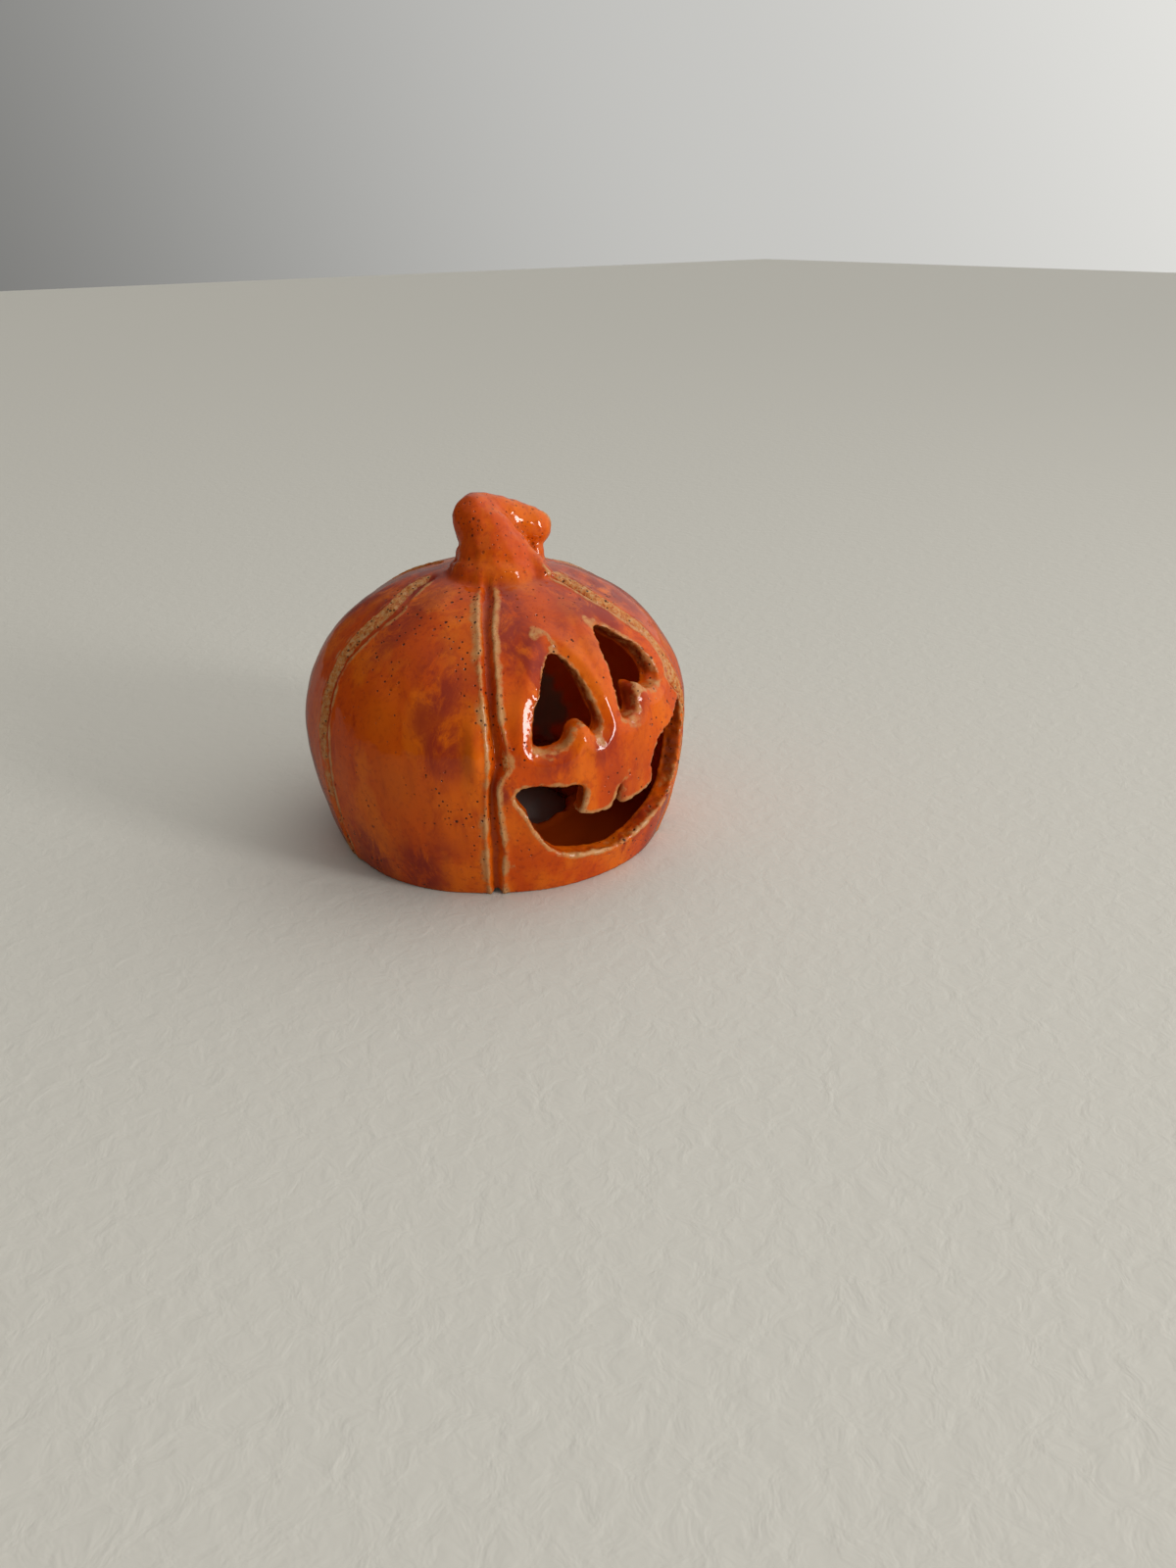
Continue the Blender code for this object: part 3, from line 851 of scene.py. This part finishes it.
def orange_glaze():
    material = bpy.data.materials.new("orange_glaze")
    material.use_nodes = True
    tree = material.node_tree
    shader = tree.nodes["Principled BSDF"]
    where = node(tree, "ShaderNodeTexCoord").outputs["Object"]
    runs = node(tree, "ShaderNodeMapping")
    runs.inputs["Scale"].default_value = (1.0, 1.0, 0.38)
    link(tree, where, runs.inputs["Vector"])
    flowing = runs.outputs["Vector"]
    breakup = noise_of(tree, where, 420, 5, 0.7)
    grain = noise_of(tree, where, 900, 4, 0.75)
    colour = glaze_colour(tree, where, flowing)

    inner = mark(tree, "inner")
    # Painted light: the inside glaze is painted brighter than the outside to light up the dim hollow.
    colour = mixed(tree, times(tree, inner, 0.8), colour, LINING_WITH_PAINTED_LIGHT)
    # Painted shade: cut walls that don't face up and the inner floor are darkened towards dark brown.
    colour = mixed(tree, times(tree, mark(tree, "painted_shade"), 0.86), colour, PAINTED_SHADE_BROWN)

    uneven_edge = combine(tree, "SUBTRACT", breakup, 0.5)
    thin = combine(tree, "ADD", mark(tree, "thin_glaze"), uneven_edge)
    tan = ramp(tree, thin, 0.30, 0.70)
    colour = mixed(tree, times(tree, tan, 0.9), colour, TAN)
    colour = mixed(tree, times(tree, ramp(tree, thin, 0.66, 1.05), 0.7), colour, SAND)

    grit = ramp(tree, combine(tree, "ADD", mark(tree, "grit"), uneven_edge), 0.25, 0.60)
    colour = mixed(tree, times(tree, grit, 0.92), colour, OCHRE)
    crumbs = times(tree, ramp(tree, grain, 0.50, 0.58), grit)
    colour = mixed(tree, times(tree, crumbs, 0.75), colour, SAND)
    rough_clay = combine(tree, "MAXIMUM", grit, times(tree, tan, 0.6))
    hollows = times(tree, ramp(tree, grain, 0.46, 0.38), rough_clay)
    colour = mixed(tree, times(tree, hollows, 0.8), colour, RUSSET)

    drift = ramp(tree, noise_of(tree, where, 52, 4, 0.7), 0.50, 0.58)
    drift = combine(tree, "MAXIMUM", drift, mark(tree, "pitted"))
    drift = combine(tree, "MAXIMUM", drift, times(tree, mark(tree, "stem"), 0.5))
    drift = combine(tree, "MAXIMUM", drift, times(tree, grit, 0.9))
    large_pits = pinholes(tree, where, 330.0, 0.16, drift)
    pit = combine(tree, "MAXIMUM", large_pits, pinholes(tree, where, 560.0, 0.19, drift))
    pit = times(tree, pit, combine(tree, "SUBTRACT", 1.0, inner))
    colour = mixed(tree, times(tree, pit, 0.92), colour, UMBER)

    # The bare foot and the grey patch inside the back wall take the clay colour.
    clay = mark(tree, "clay_coloured")
    colour = mixed(tree, clay, colour, CLAY)
    link(tree, colour, shader.inputs["Base Color"])

    rough = ramp(tree, noise_of(tree, where, 240, 4, 0.6), 0.3, 0.7, 0.045, 0.115)
    worn = combine(tree, "MAXIMUM", times(tree, tan, 0.16), times(tree, grit, 0.14))
    rough = combine(tree, "MAXIMUM", combine(tree, "ADD", rough, worn), times(tree, clay, 0.85))
    link(tree, rough, shader.inputs["Roughness"])
    shader.inputs["Specular IOR Level"].default_value = 0.42

    ripple = times(tree, noise_of(tree, where, 160, 3, 0.5), 0.6)
    crumble = times(tree, grain, combine(tree, "ADD", times(tree, grit, 0.8), times(tree, tan, 0.3)))
    relief = combine(tree, "SUBTRACT", combine(tree, "ADD", ripple, crumble), times(tree, pit, 1.2))
    bump = node(tree, "ShaderNodeBump", Strength=0.6, Distance=0.0005)
    link(tree, relief, bump.inputs["Height"])
    link(tree, bump.outputs["Normal"], shader.inputs["Normal"])
    return material


# ---------------------------------------------------------------- studio


PALE_BOARD = (0.645, 0.622, 0.564)
ROOM_TINT = (0.97, 0.965, 0.93)
# Strength of the light from each side, and the share of it that the glaze mirrors
WALL_GLOW = 0.46
SIDE_GLOW = 0.55
CEILING_GLOW = 0.36
ROOM_GLOW = 0.165
WALL_IN_GLAZE = 0.9
SIDE_IN_GLAZE = 0.15
CEILING_IN_GLAZE = 0.5
ROOM_IN_GLAZE = 0.18
FLOOR_IN_GLAZE = 0.35
# The board's brightness under the lantern's floor hole, and where that shade starts and ends, in metres
SHADE_UNDER = 0.3
SHADE_REACH = (0.022, 0.034)


def pale_floor():
    drop_selection()
    bpy.ops.mesh.primitive_plane_add(size=6.0, location=(0, 0, 0))
    floor = settle("pale_floor")
    material = bpy.data.materials.new("pale_board")
    material.use_nodes = True
    tree = material.node_tree
    shader = tree.nodes["Principled BSDF"]
    dim = dimmed_in_gloss(tree, FLOOR_IN_GLAZE)
    where = node(tree, "ShaderNodeTexCoord").outputs["Object"]
    away = node(tree, "ShaderNodeVectorMath", operation="LENGTH")
    link(tree, where, away.inputs[0])
    dim = times(tree, dim, ramp(tree, away.outputs["Value"], *SHADE_REACH, SHADE_UNDER, 1.0))
    link(tree, mixed(tree, dim, (0.0, 0.0, 0.0), PALE_BOARD), shader.inputs["Base Color"])
    shader.inputs["Roughness"].default_value = 0.75
    bump = node(tree, "ShaderNodeBump", Strength=0.35, Distance=0.0008)
    link(tree, noise_of(tree, where, 190, 3, 0.6, 0.5), bump.inputs["Height"])
    link(tree, bump.outputs["Normal"], shader.inputs["Normal"])
    floor.data.materials.append(material)


def soft_light(name, azimuth, distance, height, width, tall, power, colour):
    data = bpy.data.lights.new(name, "AREA")
    data.shape = "RECTANGLE"
    data.size = width
    data.size_y = tall
    data.energy = power
    data.color = colour
    light = bpy.data.objects.new(name, data)
    turn = math.radians(azimuth)
    light.location = (distance * math.sin(turn), -distance * math.cos(turn), height)
    aim = Vector((0, 0, 0.035)) - light.location
    light.rotation_euler = aim.to_track_quat("-Z", "Y").to_euler()
    bpy.context.scene.collection.objects.link(light)


def towards(azimuth, elevation):
    turn, lift = math.radians(azimuth), math.radians(elevation)
    return (math.sin(turn) * math.cos(lift), -math.cos(turn) * math.cos(lift), math.sin(lift))


def glow(tree, ray, azimuth, elevation, start, end, strength):
    """Light from one side of the room, fading away from its middle."""
    facing = node(tree, "ShaderNodeVectorMath", operation="DOT_PRODUCT")
    link(tree, ray, facing.inputs[0])
    facing.inputs[1].default_value = towards(azimuth, elevation)
    return ramp(tree, facing.outputs["Value"], start, end, 0.0, strength)


def dimmed_in_gloss(tree, share):
    """One for plain light and the share for a reflection, so that the glaze mirrors mostly the window."""
    glossy = node(tree, "ShaderNodeLightPath").outputs["Is Glossy Ray"]
    return combine(tree, "SUBTRACT", 1.0, times(tree, glossy, 1 - share))


def pale_room():
    """A dim room: a pale wall behind the lantern, a lit side on the right, a soft ceiling."""
    world = bpy.data.worlds.new("pale_room")
    world.use_nodes = True
    tree = world.node_tree
    background = tree.nodes["Background"]
    background.inputs["Color"].default_value = (*ROOM_TINT, 1)
    ray = node(tree, "ShaderNodeTexCoord").outputs["Generated"]
    wall = times(tree, glow(tree, ray, 94, 14, 0.08, 0.85, WALL_GLOW), dimmed_in_gloss(tree, WALL_IN_GLAZE))
    side = times(tree, glow(tree, ray, 62, 25, 0.25, 1.0, SIDE_GLOW), dimmed_in_gloss(tree, SIDE_IN_GLAZE))
    ceiling = glow(tree, ray, 60, 80, 0.2, 1.0, CEILING_GLOW)
    ceiling = times(tree, ceiling, dimmed_in_gloss(tree, CEILING_IN_GLAZE))
    room = times(tree, dimmed_in_gloss(tree, ROOM_IN_GLAZE), ROOM_GLOW)
    light = combine(tree, "ADD", combine(tree, "ADD", wall, side), combine(tree, "ADD", ceiling, room))
    link(tree, light, background.inputs["Strength"])
    bpy.context.scene.world = world


def studio():
    soft_light("window", 24, 1.2, 0.38, 0.24, 0.46, 6.9, (1.0, 0.985, 0.96))
    pale_room()
    bpy.context.scene.view_settings.view_transform = "Standard"


EYE_PLACE = (-0.16041, -0.26347, 0.15878)
EYE_AHEAD = (0.52830, 0.72714, -0.43837)
EYE_ROLL = -0.011
EYE_LENS = 27


def camera():
    ahead = Vector(EYE_AHEAD).normalized()
    level = ahead.cross(Vector((0, 0, 1))).normalized()
    upward = level.cross(ahead)
    right = level * math.cos(EYE_ROLL) + upward * math.sin(EYE_ROLL)
    up = right.cross(ahead)
    data = bpy.data.cameras.new("camera")
    data.lens = EYE_LENS
    data.sensor_width = 36
    data.clip_start = 0.01
    eye = bpy.data.objects.new("camera", data)
    turn = Matrix((right, up, -ahead)).transposed().to_4x4()
    eye.matrix_world = Matrix.Translation(EYE_PLACE) @ turn
    bpy.context.scene.collection.objects.link(eye)
    bpy.context.scene.camera = eye


lantern = make_lantern()
lantern.data.materials.clear()
lantern.data.materials.append(orange_glaze())
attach(lantern, "root")
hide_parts(NODE)
pale_floor()
studio()
camera()
